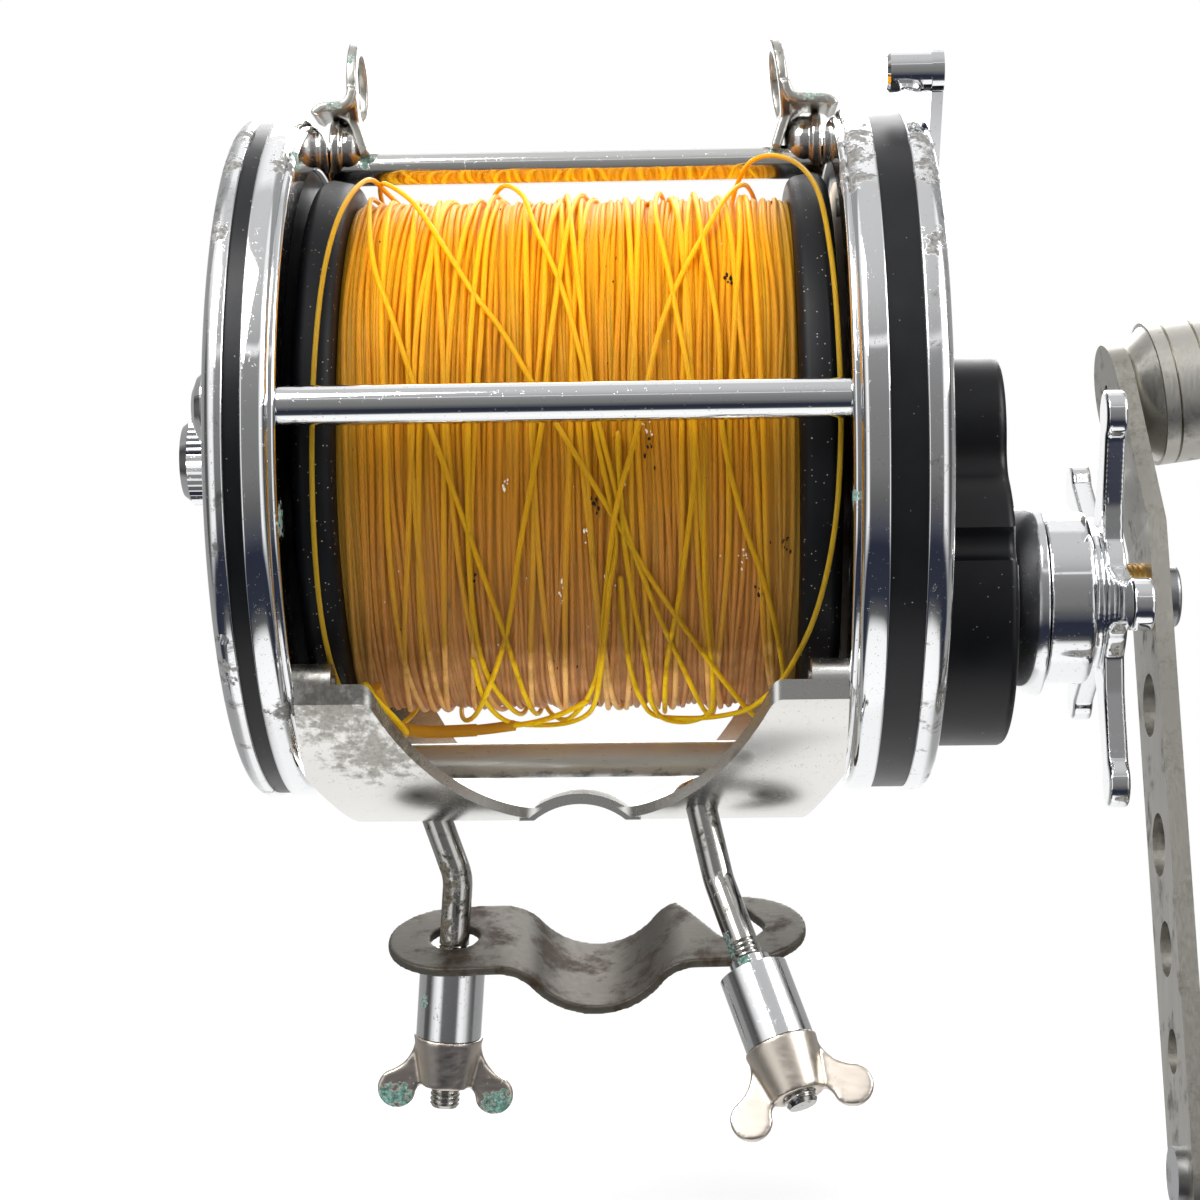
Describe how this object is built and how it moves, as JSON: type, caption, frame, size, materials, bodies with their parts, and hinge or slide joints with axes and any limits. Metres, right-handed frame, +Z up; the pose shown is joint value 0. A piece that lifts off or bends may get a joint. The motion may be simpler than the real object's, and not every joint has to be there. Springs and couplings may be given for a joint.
{
  "type": "fishing reel",
  "caption": "Big-game trolling reel with star drag, cranked handle, wound line, harness lugs and a rod clamp.",
  "frame": {"origin": "on the rod's axis in the clamp, under the middle of the foot's arch", "axes": "+X along the spool axis towards the crank, +Z up from the rod through the spool, the rod lies along Y and the angler is on the -Y side"},
  "size_m": [0.2623, 0.132, 0.2333],
  "materials": {
    "chrome_plate": "worn bright chrome with grey pitting",
    "black_resin": "satin black moulded resin",
    "yellow_line": "golden clear nylon line",
    "bare_aluminium": "bare, brushed and slightly oxidised",
    "worn_nickel": "stained nickel plate",
    "yellow_brass": "machined brass",
    "plain_steel": "plain steel",
    "drag_fibre": "brown friction fibre"
  },
  "bodies": {
    "frame": {"ring_inner_left": "chrome_plate", "ring_outer_left": "chrome_plate", "ring_inner_right": "chrome_plate", "ring_outer_right": "chrome_plate", "side_plate_left": "black_resin", "side_plate_right": "black_resin", "side_screws_left": "plain_steel", "side_screws_right": "plain_steel", "pillar_rear": "chrome_plate", "pillar_top": "chrome_plate", "pillar_bottom": "chrome_plate", "pillar_front": "chrome_plate", "reel_foot": "chrome_plate", "harness_lug_left": "chrome_plate", "harness_lug_right": "chrome_plate", "bearing_left": "yellow_brass", "bearing_right": "yellow_brass", "bridge_plate": "yellow_brass", "bridge_screws": "plain_steel", "yoke_springs": "plain_steel", "dog_spring": "plain_steel", "click_spring": "plain_steel", "stud_left": "chrome_plate", "stud_right": "chrome_plate"},
    "drive": {"gear_sleeve": "yellow_brass", "under_washer": "drag_fibre", "main_gear": "yellow_brass", "drag_washers_fibre": "drag_fibre", "drag_washers_metal": "plain_steel", "ratchet": "plain_steel", "drag_collar": "chrome_plate", "crank_arm": "bare_aluminium", "crank_nut": "plain_steel", "crank_lock_screw": "plain_steel", "counterweight": "bare_aluminium", "counterweight_screw": "plain_steel", "grip_spindle": "plain_steel"},
    "star": {"star_wheel": "chrome_plate"},
    "grip": {"grip": "black_resin"},
    "spool": {"spool_arbor": "bare_aluminium", "spool_flange_left": "black_resin", "spool_flange_right": "black_resin", "spool_shaft": "plain_steel", "line_core": "yellow_line", "line_turns": "yellow_line", "click_gear": "yellow_brass"},
    "yoke": {"yoke": "plain_steel"},
    "pinion": {"pinion": "plain_steel"},
    "lever": {"free_spool_lever": "chrome_plate", "free_spool_knob": "chrome_plate", "free_spool_cam": "yellow_brass"},
    "click": {"click_button": "chrome_plate", "click_tongue": "plain_steel"},
    "dog": {"anti_reverse_dog": "plain_steel"},
    "cap": {"bearing_cap": "chrome_plate"},
    "bracket": {"clamp_bracket": "worn_nickel"},
    "nut_left": {"wing_nut_left": "worn_nickel", "clamp_sleeve_left": "chrome_plate"},
    "nut_right": {"wing_nut_right": "worn_nickel", "clamp_sleeve_right": "chrome_plate"}
  },
  "joints": [
    {"name": "crank_turn", "type": "hinge", "parent": "frame", "child": "drive", "pos_m": [0, 0, 0.0525], "axis": [-1, 0, 0], "continuous": true},
    {"name": "star_turn", "type": "hinge", "parent": "drive", "child": "star", "pos_m": [0, 0, 0.0525], "axis": [1, 0, 0], "range_deg": [-60, 60]},
    {"name": "grip_spin", "type": "hinge", "parent": "drive", "child": "grip", "pos_m": [0.113, -0.02847, -0.05375], "axis": [1, 0, 0], "continuous": true},
    {"name": "spool_turn", "type": "hinge", "parent": "frame", "child": "spool", "pos_m": [0, 0, 0.0815], "axis": [1, 0, 0], "continuous": true},
    {"name": "lever_throw", "type": "hinge", "parent": "frame", "child": "lever", "pos_m": [0.0672, 0.00272, 0.11138], "axis": [-1, 0, 0], "range_deg": [0, 84]},
    {"name": "yoke_slide", "type": "slide", "parent": "frame", "child": "yoke", "axis": [1, 0, 0], "range_m": [0, 0.003], "deforming": ["yoke_springs"]},
    {"name": "pinion_spin", "type": "hinge", "parent": "yoke", "child": "pinion", "pos_m": [0, 0, 0.0815], "axis": [1, 0, 0], "continuous": true},
    {"name": "click_slide", "type": "slide", "parent": "frame", "child": "click", "axis": [0, 0.9572, -0.2894], "range_m": [0, 0.005], "deforming": ["click_spring"]},
    {"name": "dog_lift", "type": "hinge", "parent": "frame", "child": "dog", "pos_m": [0.056, 0.024, 0.0605], "axis": [1, 0, 0], "range_deg": [0, 8], "stiffness_Nm_per_rad": 0.02, "deforming": ["dog_spring"]},
    {"name": "cap_turn", "type": "hinge", "parent": "frame", "child": "cap", "pos_m": [-0.07, 0, 0.0815], "axis": [1, 0, 0], "range_deg": [-170, 170]},
    {"name": "bracket_swing", "type": "hinge", "parent": "frame", "child": "bracket", "pos_m": [-0.02503, -0.00093, -0.01222], "axis": [0.0782, -0.0903, 0.9928], "range_deg": [0, 90]},
    {"name": "wing_nut_left_spin", "type": "hinge", "parent": "frame", "child": "nut_left", "pos_m": [-0.02606, 0.00026, -0.02522], "axis": [-0.0782, 0.0903, -0.9928], "continuous": true},
    {"name": "wing_nut_right_spin", "type": "hinge", "parent": "frame", "child": "nut_right", "pos_m": [0.03397, -0.03203, -0.02075], "axis": [0.3107, -0.441, -0.842], "continuous": true}
  ],
  "couplings": [
    {"joint": "spool_turn", "follows": "crank_turn", "ratio": 2.2222},
    {"joint": "pinion_spin", "follows": "crank_turn", "ratio": 2.2222},
    {"joint": "yoke_slide", "follows": "lever_throw", "m_per_rad": 0.0020462}
  ]
}
